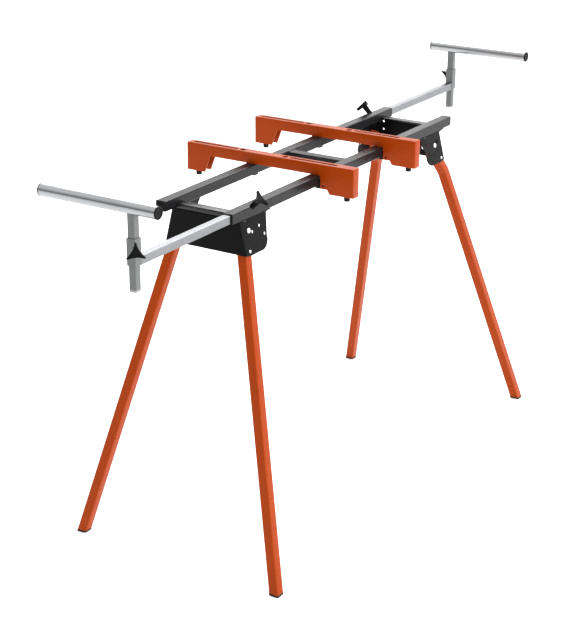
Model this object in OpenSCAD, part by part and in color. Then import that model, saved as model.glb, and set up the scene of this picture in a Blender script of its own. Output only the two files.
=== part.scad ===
// Folding mitre saw stand: two rails on four splayed folding legs, two sliding mounting
// beams, and two telescopic arms that carry height-adjustable round support bars.
// Millimetres, +Z up, +X along the rails. The origin is on the floor, under the middle of
// the whole stand.

/* [Frame] */
// Length of each rail
rail_len = 1080; // [1000:10:1200]
// Width of a rail tube
rail_w = 28; // [28:1:30]
// Height of a rail tube
rail_h = 25; // [25:1:27]
// Wall of a rail tube
rail_wall = 1.5; // [1.2:0.1:1.5]
// Distance from the centre plane to a rail's centre line
rail_y = 92.5; // [90:0.5:96]
// Height of the rails' top faces above the floor
top_z = 870; // [840:5:900]
// How far the middle crossbar's top lies under the rails' tops
crossbar_drop = 2; // [1:0.5:3]

/* [Leg brackets] */
// Distance from the centre to a bracket's outer face
plate_x = 500; // [495:1:505]
// Thickness of the bracket sheet
sheet = 2.5; // [2:0.5:2.5]
// Half width of a bracket just under the rails
ear_half = 93; // [92:0.5:94]
// Height of a bracket's ears, along the ear
ear_h = 91; // [90:0.5:93]
// Height of an ear at the end plate, along the ear
corner_h = 87.5; // [86:0.5:89]
// Length of an ear's top edge
ear_top = 117; // [112:1:120]
// Width of the flange that ties the rails together
flange_w = 25; // [20:1:28]
// Height of that flange's top above the rails' bottoms
flange_rise = 11; // [8:1:14]
// Slope of the ears, sideways for each unit down
ear_slope = 0.25; // [0.24:0.01:0.26]
// Half width of the right end plate between its two leg notches
notch_y = 80; // [70:1:80]
// Height of the notches
notch_h = 13; // [13:1:20]

/* [Legs] */
// Side of a square leg tube
leg_w = 25; // [24:0.5:25]
// Wall of a leg tube
leg_wall = 1.5; // [1.2:0.1:1.6]
// Lean of the straight left legs along the rails, in degrees
left_lean = 11.4; // [11:0.1:11.8]
// Lean of the right legs above their bend, in degrees
right_top_lean = 33.5; // [33:0.1:34]
// Lean of the right legs below their bend, in degrees
right_lean = 14.4; // [14:0.1:15]
// Distance from a right leg's pivot to its bend
bend_at = 99; // [95:1:102]
// Distance from a leg's pivot to its lock hole
lock_r = 48; // [46:0.5:49]
// Diameter of the pivot bolts
pivot_d = 8; // [8:0.5:9]

/* [Arms] */
// Side of a square extension tube
ext_w = 20; // [19:0.5:20]
// Length of an extension tube
ext_len = 700; // [650:10:720]
// How far the left arm stands out of its rail
left_out = 332; // [250:1:400]
// How far the right arm stands out of its rail
right_out = 384; // [250:1:400]
// Outer side of a post sleeve
sleeve_w = 23; // [23:0.5:24]
// Length of a post sleeve
sleeve_len = 60; // [55:1:65]

/* [Supports] */
// Side of a square post
post_w = 18; // [17:0.5:18]
// Height of a support bar's axis above the rails' tops
bar_rise = 103; // [95:1:110]
// How far a post's lower end lies under the rails' tops
post_drop = 79; // [70:1:85]
// Diameter of a support bar
bar_d = 28; // [26:1:30]
// Length of a support bar with its caps
bar_len = 312; // [280:2:340]
// How far a bar stands out past its post on the outer side
bar_near = 67.5; // [50:0.5:90]

/* [Beams] */
// Where the left beam sits along the rails
left_beam_x = -150; // [-340:5:-40]
// Where the right beam sits along the rails
right_beam_x = 165; // [40:5:340]
// Width of a beam
beam_w = 28; // [28:1:30]
// Front end of a beam
beam_y0 = -201; // [-210:1:-195]
// Rear end of a beam
beam_y1 = 289; // [285:1:295]
// Height of a beam over the rails
beam_rise = 28; // [28:1:30]
// Full depth of a beam's two ends
beam_deep = 72; // [70:1:74]
// Width of a mounting slot
slot_w = 9; // [7:0.5:10]
// Length of a mounting slot, end to end
slot_len = 136; // [120:2:136]

/* [Knobs] */
// Radius of a knob at its three tips
knob_r = 23; // [21:0.5:25]
// Thickness of a knob's head
knob_t = 9; // [8:0.5:10]
// Diameter of a knob's stud
stud_d = 8; // [8:0.5:8]

/* [Hidden] */
$fn = 48;

// Colours
orange = [0.80, 0.27, 0.08];
charcoal = [0.25, 0.25, 0.26];
black = [0.10, 0.10, 0.10];
zinc = [0.78, 0.79, 0.80];
silver = [0.70, 0.71, 0.72];

// Frame levels
rail_bottom = top_z - rail_h;
rail_mid = top_z - rail_h / 2;
rail_end = rail_len / 2;
rail_in = rail_y - rail_w / 2;
running = 0.05;      // radial clearance of a shaft that turns or slides in its hole
tube_r = 2.5;        // outer corner radius of the tubes
x_shift = (right_out - left_out) / 2;
beyond = 40;         // how far cutting shapes run past what they cut

// Leg pivots and lock holes in an ear's own frame: x inboard from the bracket's outer face,
// z up along the ear, both from the ear's outer top corner
splay = atan(ear_slope);
pivot_left = [29.3, -33.2];
lock = pivot_left - lock_r * [sin(left_lean), cos(left_lean)];
pivot_right = lock + lock_r * [sin(right_top_lean), cos(right_top_lean)];
bend = right_top_lean - right_lean;
fold_left = pivot_left + [lock_r, 0];
fold_right = pivot_right + lock_r * [cos(bend), -sin(bend)];
leg_gap = 2;                      // ear to leg
leg_y = sheet + leg_gap + leg_w / 2;
floor_w = (-rail_bottom + leg_y * sin(splay)) / cos(splay);
leg_top = 14;                     // tube above the pivot
foot_t = 5;                       // sole under the level end of a leg tube
foot_up = 18;                     // plug of a foot inside its leg, along the leg
past_floor = 12;                  // how far a leg is drawn before its end is cut level
left_reach = (pivot_left[1] - floor_w) / cos(left_lean);
bend_drop = bend_at * cos(right_top_lean);
right_reach = (pivot_right[1] - bend_drop - floor_w) / cos(right_lean);
lock_button_d = 8;

// Knobs
nut_r = 7;
rail_nut_len = 9;
post_nut_len = 5;
rail_hub = 12;
post_hub = 3;
knob_gap = 1;
stud_tip = 4.6;
rail_knob_x = rail_end - 82;
post_knob_z = top_z + 15;

// Arms
sleeve_z = top_z - 20.6;
sleeve_wall = 1.8;

// Beams
beam_wall = 2;
beam_top = top_z + beam_rise;
beam_low = beam_top - beam_deep;
front_slot_y = -80;
rear_slot_y = 208;
access_y = [2, 126];              // round holes for passing a bolt head
bumper_y = [beam_y0 + 25, beam_y1 - 27];
bumper_d = 15;
bumper_low = 13;
latch_y = -116;
latch_z = top_z - 25.5;
latch_d = 6;
latch_w = 20;

function arc(c, r, a0, a1, n = 5) =
    [for (i = [0:n]) c + r * [cos(a0 + (a1 - a0) * i / n), sin(a0 + (a1 - a0) * i / n)]];

function round_rect(w, h, r) = concat(
    arc([w / 2 - r, h / 2 - r], r, 0, 90), arc([r - w / 2, h / 2 - r], r, 90, 180),
    arc([r - w / 2, r - h / 2], r, 180, 270), arc([w / 2 - r, r - h / 2], r, 270, 360));

// A round-cornered bar along +Z with its lower end on the origin
module bar(w, h, len, r = tube_r) {
    linear_extrude(len) polygon(round_rect(w, h, r));
}

// A tube along +Z
module tube(w, h, len, wall, r = tube_r) {
    difference() {
        bar(w, h, len, r);
        translate([0, 0, -1]) bar(w - 2 * wall, h - 2 * wall, len + 2, max(r - wall, 0.5));
    }
}

// Lays a shape that was drawn along +Z down along +X, its x to Y and its y to Z
module along_x() { rotate([90, 0, 90]) children(); }

module placed() { translate([-x_shift, 0, 0]) children(); }
module half_turn(on) { if (on) rotate([0, 0, 180]) children(); else children(); }
module mirrored(on, axis) { if (on) mirror(axis) children(); else children(); }

// The frame of one ear: x inboard, y inward, z up along the ear, for all four corners
module ear_frame(right, rear) {
    mirrored(right, [1, 0, 0]) mirrored(rear, [0, 1, 0])
        translate([-plate_x, -ear_half, rail_bottom]) rotate([-splay, 0, 0]) children();
}

// A round bar or hole through an ear, from y0 to y1
module ear_pin(at, d, y0, y1) {
    translate([at[0], y0, at[1]]) rotate([-90, 0, 0]) cylinder(d = d, h = y1 - y0);
}

// ---- frame ----

module rail_solid() {
    difference() {
        translate([-rail_end, -rail_y, rail_mid]) along_x()
            tube(rail_w, rail_h, rail_len, rail_wall);
        rail_knob_frame() translate([0, 0, -rail_w / 2])
            cylinder(d = stud_d + 2 * running, h = rail_w);
    }
}

module front_rail() { color(charcoal) placed() rail_solid(); }
module rear_rail() { color(charcoal) placed() half_turn(true) rail_solid(); }

module middle_crossbar() {
    color(charcoal) placed()
        translate([0, rail_in, rail_mid - crossbar_drop]) rotate([90, 0, 0])
        tube(rail_w, rail_h, 2 * rail_in, rail_wall);
}

// Closed end of a rail: a plug with a cover
module end_cap() {
    fit = 0.2;
    translate([rail_end, -rail_y, rail_mid]) along_x() {
        bar(rail_w, rail_h, 3);
        translate([0, 0, -12])
            bar(rail_w - 2 * rail_wall - fit, rail_h - 2 * rail_wall - fit, 12.5, 1);
    }
}

module rail_end_caps() {
    color(black) placed() for (turn = [false, true]) half_turn(turn) end_cap();
}

// Open end of a rail: a collar that guides the extension tube
module bush() {
    fit = 0.2;
    translate([-rail_end, -rail_y, rail_mid]) along_x() difference() {
        union() {
            translate([0, 0, -2]) bar(rail_w, rail_h, 2);
            translate([0, 0, -0.5])
                bar(rail_w - 2 * rail_wall - fit, rail_h - 2 * rail_wall - fit, 25, 1);
        }
        translate([0, 0, -3]) bar(ext_w + 0.6, ext_w + 0.6, 30, 2);
    }
}

module rail_bushes() {
    color(black) placed() for (turn = [false, true]) half_turn(turn) bush();
}

// ---- leg brackets ----

ear_outline = concat([[0, 0], [0, -corner_h], [22, -ear_h]],
    arc([ear_top - 47, -ear_h + 30], 30, 270, 340), [[ear_top, 0]]);

module ear_solid() {
    rotate([90, 0, 0]) mirror([0, 0, 1]) linear_extrude(sheet) polygon(ear_outline);
}

module ear_holes() {
    for (at = [pivot_left, pivot_right])
        ear_pin(at, pivot_d + 2 * running, -1, sheet + 1);
    for (at = [lock, fold_left, fold_right])
        ear_pin(at, lock_button_d + 2 * running, -1, sheet + 1);
}

tab_w = 13;
tab_bolts = [14, ear_top - 14];

// Outward tab along the top of an ear, bolted under the rail
module tab() {
    translate([0, -ear_half - tab_w, rail_bottom - sheet]) cube([ear_top, tab_w + 2, sheet]);
}

// Height and size of the small holes in the right end plate
plate_hole_y = 81;
plate_hole_z = [rail_bottom - 5, rail_bottom - 27];
plate_hole_d = 6;

module end_plate(notched) {
    low = rail_bottom - corner_h * cos(splay);
    step = low + (notched ? notch_h : 0);
    side = ear_half - 0.4;            // the plate's sides end inside the ears' sheet
    half = side + ear_slope * (rail_bottom - step);
    inner = rail_in - 0.2;
    flange_z = rail_bottom + flange_rise;
    feet = notched ? [[-half, step], [-notch_y, step], [-notch_y, low],
        [notch_y, low], [notch_y, step], [half, step]] : [[-half, low], [half, low]];
    translate([-plate_x, 0, 0]) rotate([90, 0, 90]) linear_extrude(sheet)
        polygon(concat(feet, [[side, rail_bottom], [inner, rail_bottom], [inner, flange_z],
            [-inner, flange_z], [-inner, rail_bottom], [-side, rail_bottom]]));
    translate([-plate_x, -inner, flange_z - sheet]) cube([flange_w, 2 * inner, sheet]);
}

module bracket(notched) {
    difference() {
        union() {
            end_plate(notched);
            for (rear = [false, true]) {
                ear_frame(false, rear) ear_solid();
                mirrored(rear, [0, 1, 0]) translate([-plate_x, 0, 0]) tab();
            }
        }
        for (rear = [false, true]) {
            ear_frame(false, rear) ear_holes();
            mirrored(rear, [0, 1, 0]) {
                for (x = tab_bolts) translate([x - plate_x, -rail_y - 7, rail_bottom - beyond])
                    cylinder(d = 5.1, h = beyond + 1);
                if (notched) for (z = plate_hole_z)
                    translate([-plate_x - 1, -plate_hole_y, z]) rotate([0, 90, 0])
                    cylinder(d = plate_hole_d, h = sheet + 2);
            }
        }
    }
}

module left_leg_bracket() { color(black) placed() bracket(false); }
module right_leg_bracket() { color(black) placed() mirror([1, 0, 0]) bracket(true); }

module bracket_bolts() {
    color(zinc) placed()
        for (right = [false, true], rear = [false, true], x = tab_bolts)
            mirrored(right, [1, 0, 0]) mirrored(rear, [0, 1, 0])
                translate([x - plate_x, -rail_y - 7, rail_bottom - sheet]) {
                    cylinder(d = 5, h = sheet);
                    translate([0, 0, -4]) cylinder(d = 9, h = 4, $fn = 6);
                }
}

// ---- leg pivots and locks ----

nut_at = sheet + leg_gap + leg_w + 0.4;

module on_each_pivot() {
    for (right = [false, true], rear = [false, true])
        ear_frame(right, rear)
            if (right) at_pivot(pivot_right) children(); else at_pivot(pivot_left) children();
}

module at_pivot(at) { translate([at[0], 0, at[1]]) rotate([-90, 0, 0]) children(); }

module leg_pivot_bolts() {
    color(zinc) placed() on_each_pivot() {
        cylinder(d = pivot_d, h = nut_at + 8);
        translate([0, 0, -3.5]) cylinder(d = 13, h = 3.5);
    }
}

module leg_pivot_nuts() {
    color(zinc) placed() on_each_pivot() translate([0, 0, nut_at]) difference() {
        cylinder(d = 14.5, h = 7, $fn = 6);
        translate([0, 0, -1]) cylinder(d = pivot_d, h = 9);
    }
}

// Plain washers that keep the legs off the ears
module leg_washers() {
    color(zinc) placed() on_each_pivot() translate([0, 0, sheet]) difference() {
        cylinder(d = 18, h = leg_gap - 0.3);
        translate([0, 0, -1]) cylinder(d = pivot_d + 2 * running, h = leg_gap + 2);
    }
}

// Sprung button in an ear's lock hole; it is pushed in to free the leg
module lock_button(right, rear) {
    proud = 2.5;
    color(zinc) placed() ear_frame(right, rear) {
        ear_pin(lock, lock_button_d, 1 - proud, sheet + 1.5);
        ear_pin(lock, lock_button_d - 2, -proud, 1.5 - proud);
    }
}

module left_front_lock_button() { lock_button(false, false); }
module left_rear_lock_button() { lock_button(false, true); }
module right_front_lock_button() { lock_button(true, false); }
module right_rear_lock_button() { lock_button(true, true); }

// ---- legs ----

// A leg hangs from its pivot along -Z; these shapes are drawn with the pivot at the origin
module straight_run(w, r, from, to) { translate([0, 0, -to]) bar(w, w, to - from, r); }

// Dog-legged run, drawn from its side and w thick
module bent_run(w, grow) {
    across = [w / 2, w / 2 * tan(bend / 2)];
    low_across = [cos(bend), sin(bend)] * w / 2;
    top = [0, leg_top + grow];
    knee = [0, -bend_at];
    end = knee + (right_reach + past_floor + grow) * [sin(bend), -cos(bend)];
    rotate([90, 0, 0]) linear_extrude(w, center = true)
        polygon([top + [w / 2, 0], top - [w / 2, 0], knee - across, end - low_across,
            end + low_across, knee + across]);
}

module at_leg(right) {
    at = right ? pivot_right : pivot_left;
    translate([at[0], leg_y, at[1]]) rotate([0, right ? right_top_lean : left_lean, 0])
        children();
}

// Moves to the point where a leg meets the floor
module at_foot(right) {
    if (right) translate([0, 0, -bend_at]) rotate([0, -bend, 0])
        translate([0, 0, -right_reach]) children();
    else translate([0, 0, -left_reach]) children();
}

// Everything between two heights above the floor
module level(from, to) {
    translate([-rail_len, -rail_len, from]) cube([2 * rail_len, 2 * rail_len, to - from]);
}

side_holes = [45, 74];            // across the right legs, up from the floor
face_hole = 50;                   // in the right legs' outer faces

module leg(right, rear) {
    color(orange) placed() intersection() {
        ear_frame(right, rear) at_leg(right) difference() {
            if (right) bent_run(leg_w, 0);
            else straight_run(leg_w, tube_r, -leg_top, left_reach + past_floor);
            if (right) bent_run(leg_w - 2 * leg_wall, 1);
            else straight_run(leg_w - 2 * leg_wall, 1, -leg_top - 1, left_reach + past_floor + 1);
            translate([0, -leg_w, 0]) rotate([-90, 0, 0])
                cylinder(d = pivot_d + 2 * running, h = 2 * leg_w);
            translate([0, -leg_w, -lock_r]) rotate([-90, 0, 0]) cylinder(d = 9, h = leg_w);
            if (right) at_foot(right) {
                for (up = side_holes) translate([-leg_w, 0, up]) rotate([0, 90, 0])
                    cylinder(d = 5, h = 2 * leg_w);
                translate([0, -leg_w, face_hole]) rotate([-90, 0, 0]) cylinder(d = 5, h = leg_w);
            }
        }
        level(foot_t, top_z);
    }
}

module left_front_leg() { leg(false, false); }
module left_rear_leg() { leg(false, true); }
module right_front_leg() { leg(true, false); }
module right_rear_leg() { leg(true, true); }

// Rubber sole under the level end of a leg, with a plug up inside the tube
module foot(right, rear) {
    color(black) placed() {
        foot_run(right, rear, leg_w, tube_r, 0, foot_t);
        foot_run(right, rear, leg_w - 2 * leg_wall - 0.2, 1, 0, beyond);
    }
}

module foot_run(right, rear, w, r, from, to) {
    intersection() {
        ear_frame(right, rear) at_leg(right) at_foot(right) translate([0, 0, -past_floor])
            bar(w, w, past_floor + foot_up, r);
        level(from, to);
    }
}

module left_front_foot() { foot(false, false); }
module left_rear_foot() { foot(false, true); }
module right_front_foot() { foot(true, false); }
module right_rear_foot() { foot(true, true); }

// ---- arms: drawn for the left arm, in the front rail, and turned round for the right ----

function sleeve_x(right) = -rail_end - (right ? right_out : left_out) - sleeve_w / 2;

module arm_colour(right, c) { color(c) placed() half_turn(right) children(); }

module extension_tube(right) {
    arm_colour(right, silver)
        translate([sleeve_x(right) + sleeve_w / 2, -rail_y, rail_mid]) along_x()
        tube(ext_w, ext_w, ext_len, 1.5, 2);
}

module extension_glide(right) {
    slack = 0.4;
    arm_colour(right, black)
        translate([sleeve_x(right) + sleeve_w / 2 + ext_len, -rail_y, rail_mid]) along_x() {
            bar(rail_w - 2 * rail_wall - slack, rail_h - 2 * rail_wall - slack, 8, 1.5);
            translate([0, 0, -15]) bar(ext_w - 3.2, ext_w - 3.2, 15.5, 1);
        }
}

module post_sleeve(right) {
    arm_colour(right, silver) difference() {
        translate([sleeve_x(right), -rail_y, sleeve_z])
            tube(sleeve_w, sleeve_w, sleeve_len, sleeve_wall, 2);
        post_knob_frame(right) translate([0, 0, -sleeve_w / 2])
            cylinder(d = stud_d + 2 * running, h = sleeve_w);
    }
}

module left_extension_tube() { extension_tube(false); }
module right_extension_tube() { extension_tube(true); }
module left_extension_glide() { extension_glide(false); }
module right_extension_glide() { extension_glide(true); }
module left_post_sleeve() { post_sleeve(false); }
module right_post_sleeve() { post_sleeve(true); }

// ---- supports ----

bar_z = top_z + bar_rise;
post_low = top_z - post_drop;
post_wall = 1.2;
plug_t = 5;
cap_t = 3;

module post(right) {
    arm_colour(right, silver) difference() {
        translate([sleeve_x(right), -rail_y, post_low + plug_t])
            tube(post_w, post_w, bar_z - post_low - plug_t, post_wall, 1.8);
        translate([sleeve_x(right), -rail_y - beyond, bar_z]) rotate([-90, 0, 0])
            cylinder(d = bar_d + 0.1, h = 2 * beyond);
    }
}

module post_plug(right) {
    arm_colour(right, [0.62, 0.62, 0.60]) translate([sleeve_x(right), -rail_y, post_low]) {
        bar(post_w, post_w, plug_t, 1.8);
        translate([0, 0, plug_t - 0.5])
            bar(post_w - 2 * post_wall - 0.2, post_w - 2 * post_wall - 0.2, 12, 0.8);
    }
}

// Moves to the outer end of a support bar, with +Z along the bar
module at_bar(right) {
    translate([sleeve_x(right), -rail_y - bar_near, bar_z]) rotate([-90, 0, 0]) children();
}

module support_bar(right) {
    arm_colour(right, silver) at_bar(right) translate([0, 0, cap_t]) difference() {
        cylinder(d = bar_d, h = bar_len - 2 * cap_t);
        translate([0, 0, -1]) cylinder(d = bar_d - 2.4, h = bar_len);
    }
}

module bar_cap() {
    difference() {
        union() {
            cylinder(d = bar_d + 0.6, h = cap_t);
            cylinder(d = bar_d - 2.6, h = cap_t + 12);
        }
        translate([0, 0, -1]) cylinder(d = 9, h = 2.2);
    }
}

module bar_caps(right) {
    arm_colour(right, black) at_bar(right) {
        bar_cap();
        translate([0, 0, bar_len]) mirror([0, 0, 1]) bar_cap();
    }
}

module left_post() { post(false); }
module right_post() { post(true); }
module left_post_plug() { post_plug(false); }
module right_post_plug() { post_plug(true); }
module left_support_bar() { support_bar(false); }
module right_support_bar() { support_bar(true); }
module left_bar_caps() { bar_caps(false); }
module right_bar_caps() { bar_caps(true); }

// ---- clamp knobs: each stud comes square off a tube's corner ----

module rail_knob_frame() {
    translate([-rail_knob_x, -rail_y - rail_w / 2, top_z]) rotate([45, 0, 0]) children();
}

module post_knob_frame(right) {
    translate([sleeve_x(right) - sleeve_w / 2, -rail_y - sleeve_w / 2, post_knob_z])
        rotate([0, 90, -135]) children();
}

module knob_nut(len) {
    difference() {
        translate([0, 0, -4]) cylinder(r = nut_r, h = len + 4);
        translate([0, 0, -5]) cylinder(d = stud_d + 2 * running, h = len + 10);
    }
}

module rail_knob_nuts() {
    color(black) placed() for (turn = [false, true]) half_turn(turn) difference() {
        rail_knob_frame() knob_nut(rail_nut_len);
        translate([-rail_end, -rail_y, rail_mid]) along_x() bar(rail_w, rail_h, rail_len);
    }
}

module post_knob_nut(right) {
    arm_colour(right, zinc) difference() {
        post_knob_frame(right) knob_nut(post_nut_len);
        translate([sleeve_x(right), -rail_y, sleeve_z]) bar(sleeve_w, sleeve_w, sleeve_len, 2);
    }
}

// Three-pointed head: round tips joined by hollow sides, whose centres lie star_d out
star_tip = 2;
star_d = 63;
star_r = 53.5;
star_a = 19.2;
star = [for (k = [0:120:240]) each concat(
    arc((knob_r - star_tip) * [cos(k), sin(k)], star_tip, k - 60, k + 60, 4),
    arc(star_d * [cos(k + 60), sin(k + 60)], star_r, k + 240 + star_a, k + 240 - star_a, 10))];

module knob(nut_len, hub) {
    translate([0, 0, nut_len + knob_gap]) difference() {
        union() {
            cylinder(d = 15, h = hub + 1);
            translate([0, 0, hub]) rotate([0, 0, 180]) linear_extrude(knob_t) polygon(star);
        }
        translate([0, 0, -1]) cylinder(d = stud_d, h = hub + 6);
    }
}

module knob_stud(nut_len, hub) {
    translate([0, 0, -stud_tip]) cylinder(d = stud_d, h = stud_tip + nut_len + knob_gap + hub + 5);
}

module rail_knob(right) {
    arm_colour(right, black) rail_knob_frame() knob(rail_nut_len, rail_hub);
}
module rail_knob_stud(right) {
    arm_colour(right, zinc) rail_knob_frame() knob_stud(rail_nut_len, rail_hub);
}
module post_knob(right) {
    arm_colour(right, black) post_knob_frame(right) rotate([0, 0, right ? 60 : 0])
        knob(post_nut_len, post_hub);
}
module post_knob_stud(right) {
    arm_colour(right, zinc) post_knob_frame(right) translate([0, 0, stud_tip - 3])
        knob_stud(post_nut_len, post_hub - stud_tip + 3);
}

module left_post_knob_nut() { post_knob_nut(false); }
module right_post_knob_nut() { post_knob_nut(true); }
module left_rail_knob() { rail_knob(false); }
module right_rail_knob() { rail_knob(true); }
module left_rail_knob_stud() { rail_knob_stud(false); }
module right_rail_knob_stud() { rail_knob_stud(true); }
module left_post_knob() { post_knob(false); }
module right_post_knob() { post_knob(true); }
module left_post_knob_stud() { post_knob_stud(false); }
module right_post_knob_stud() { post_knob_stud(true); }

// ---- mounting beams: drawn with their middle on x = 0 ----

rail_out = rail_y + rail_w / 2;
beam_step = beam_low + 11;        // lower edge of the part that carries the latch pin
beam_outline = [[beam_y0, beam_top], [beam_y0, beam_low], [beam_y0 + 67, beam_low],
    [-rail_out - 21, beam_step], [-rail_out - 2, beam_step], [-rail_out - 1, top_z],
    [beam_y1 - 72, top_z], [beam_y1 - 55, beam_low], [beam_y1, beam_low], [beam_y1, beam_top]];

module slot(y) {
    run = slot_len - slot_w;
    translate([0, y, beam_top - 2 * beam_wall]) {
        for (s = [-1, 1]) translate([0, s * run / 2, 0]) cylinder(d = slot_w, h = beyond);
        translate([-slot_w / 2, -run / 2, 0]) cube([slot_w, run, beyond]);
    }
}

module beam() {
    difference() {
        translate([-beam_w / 2, 0, 0]) rotate([90, 0, 90]) linear_extrude(beam_w)
            polygon(beam_outline);
        translate([beam_wall - beam_w / 2, beam_y0 + beam_wall, beam_low - beyond])
            cube([beam_w - 2 * beam_wall, beam_y1 - beam_y0 - 2 * beam_wall,
                beam_deep - beam_wall + beyond]);
        slot(front_slot_y);
        slot(rear_slot_y);
        for (y = access_y) translate([0, y, beam_top - 2 * beam_wall])
            cylinder(d = 16, h = beyond);
        translate([-beam_w, latch_y, latch_z]) rotate([0, 90, 0])
            cylinder(d = latch_d + 2 * running, h = 2 * beam_w);
    }
}

module beam_bumpers() {
    for (y = bumper_y) translate([0, y, beam_low - bumper_low]) {
        cylinder(d = bumper_d, h = bumper_low + 12);
        cylinder(d = 10, h = bumper_low + beam_deep - beam_wall);
    }
}

// Fixed hook under the rear rail
module beam_rear_hook() {
    w = 18;
    t = 3;
    y0 = rail_out + 1.5;
    low = rail_bottom - 4;
    translate([-w / 2, y0, low - t]) cube([w, t, beam_top - beam_wall - low + t]);
    translate([-w / 2, y0, beam_top - beam_wall - t]) cube([w, 24, t]);
    translate([-w / 2, rail_in + 8, low - t]) cube([w, y0 - rail_in - 8 + t, t]);
}

module latch_pin() {
    translate([-beam_w / 2, latch_y, latch_z]) rotate([0, 90, 0]) cylinder(d = latch_d, h = beam_w);
}

// Squeeze latch: its toe hooks under the front rail, its grip lies in the front end
latch_r = 7;
latch_outline = [[0, latch_r], [latch_r, 0], [33, 0], [34, -5], [30, -9], [-4, -9],
    [-10, -4], [-44, -8], [-47, -2], [-12, 6]];

module beam_latch() {
    translate([-latch_w / 2, latch_y, latch_z]) rotate([90, 0, 90]) difference() {
        union() {
            cylinder(r = latch_r, h = latch_w);
            linear_extrude(latch_w) polygon(latch_outline);
        }
        translate([0, 0, -1]) cylinder(d = latch_d + 2 * running, h = latch_w + 2);
    }
}

module at_beam(x, c) { color(c) placed() translate([x, 0, 0]) children(); }

module left_beam() { at_beam(left_beam_x, orange) beam(); }
module right_beam() { at_beam(right_beam_x, orange) beam(); }
module left_beam_bumpers() { at_beam(left_beam_x, black) beam_bumpers(); }
module right_beam_bumpers() { at_beam(right_beam_x, black) beam_bumpers(); }
module left_beam_rear_hook() { at_beam(left_beam_x, black) beam_rear_hook(); }
module right_beam_rear_hook() { at_beam(right_beam_x, black) beam_rear_hook(); }
module left_latch_pin() { at_beam(left_beam_x, black) latch_pin(); }
module right_latch_pin() { at_beam(right_beam_x, black) latch_pin(); }
module left_beam_latch() { at_beam(left_beam_x, black) beam_latch(); }
module right_beam_latch() { at_beam(right_beam_x, black) beam_latch(); }

front_rail();
rear_rail();
middle_crossbar();
left_leg_bracket();
right_leg_bracket();
rail_end_caps();
rail_bushes();
rail_knob_nuts();
leg_pivot_bolts();
leg_pivot_nuts();
leg_washers();
bracket_bolts();
left_front_leg();
left_rear_leg();
right_front_leg();
right_rear_leg();
left_front_foot();
left_rear_foot();
right_front_foot();
right_rear_foot();
left_front_lock_button();
left_rear_lock_button();
right_front_lock_button();
right_rear_lock_button();
left_extension_tube();
left_extension_glide();
left_post_sleeve();
left_post_knob_nut();
right_extension_tube();
right_extension_glide();
right_post_sleeve();
right_post_knob_nut();
left_post();
left_post_plug();
left_support_bar();
left_bar_caps();
right_post();
right_post_plug();
right_support_bar();
right_bar_caps();
left_rail_knob();
left_rail_knob_stud();
right_rail_knob();
right_rail_knob_stud();
left_post_knob();
left_post_knob_stud();
right_post_knob();
right_post_knob_stud();
left_beam();
left_beam_bumpers();
left_beam_rear_hook();
left_latch_pin();
left_beam_latch();
right_beam();
right_beam_bumpers();
right_beam_rear_hook();
right_latch_pin();
right_beam_latch();
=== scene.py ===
import math

import bmesh
import bpy
from mathutils import Matrix, Vector


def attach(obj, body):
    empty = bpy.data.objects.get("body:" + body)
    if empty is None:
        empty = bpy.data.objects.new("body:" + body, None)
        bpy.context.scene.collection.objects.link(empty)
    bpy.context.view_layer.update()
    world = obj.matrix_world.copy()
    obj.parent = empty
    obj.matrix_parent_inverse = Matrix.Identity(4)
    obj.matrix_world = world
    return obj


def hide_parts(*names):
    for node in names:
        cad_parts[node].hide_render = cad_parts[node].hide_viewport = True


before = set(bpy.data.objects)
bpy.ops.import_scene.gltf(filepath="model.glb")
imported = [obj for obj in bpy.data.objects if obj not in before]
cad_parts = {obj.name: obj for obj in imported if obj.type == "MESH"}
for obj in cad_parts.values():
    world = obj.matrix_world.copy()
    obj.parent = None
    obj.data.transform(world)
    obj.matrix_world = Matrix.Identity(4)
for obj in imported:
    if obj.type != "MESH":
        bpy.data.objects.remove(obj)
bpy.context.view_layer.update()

# ---------------------------------------------------------------- sizes, in millimetres
# The same names and values as the CAD part; x = 0 is the middle of the rails here.
SHIFT = -26
TOP = 870
RAIL_W, RAIL_H, RAIL_Y, RAIL_END = 28, 25, 92.5, 540
RAIL_LOW, RAIL_MID = TOP - RAIL_H, TOP - RAIL_H / 2
RAIL_IN, RAIL_OUT = RAIL_Y - RAIL_W / 2, RAIL_Y + RAIL_W / 2
PLATE_X, SHEET, EAR_HALF, EAR_H, CORNER_H, EAR_TOP = 500, 2.5, 93, 91, 87.5, 117
SLOPE = 0.25
SPLAY = math.atan(SLOPE)
LEG_W, LEG_WALL, LEG_GAP = 25, 1.5, 2
LEG_Y = SHEET + LEG_GAP + LEG_W / 2
LOCK_R, LEFT_LEAN, RIGHT_TOP_LEAN, RIGHT_LEAN = 48, 11.4, 33.5, 14.4
BEND = RIGHT_TOP_LEAN - RIGHT_LEAN
BEND_AT = 99
LEG_TOP, FOOT_T, PAST_FLOOR = 14, 5, 12
PIN_HOLE_R, LOCK_HOLE_R = 4.05, 4.5        # pivot, lock and fold holes; the lock hole in a leg
BEND_R = 46                                # inside the bend of a right leg, on its centre line
FOOT_HOLE_R, SIDE_HOLES_UP, FACE_HOLE_UP = 2.5, (45, 74), 50
OUT = {"left": 332, "right": 384}
BAR_Z = TOP + 103
BAR_LEN, BAR_NEAR, BAR_R = 312, 67.5, 14
BEAM_X = {"left": -150, "right": 165}
BEAM_W, BEAM_Y0, BEAM_Y1, BEAM_TOP, BEAM_LOW = 28, -201, 289, TOP + 28, TOP + 28 - 72
BEAM_WALL = 2
LATCH_AT = (-116, TOP - 25.5)
SLOT_W, SLOT_LEN = 9, 136


def rad(a):
    return math.radians(a)


def polar(a, r=1.0):
    return Vector((math.cos(rad(a)) * r, math.sin(rad(a)) * r))


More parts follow.
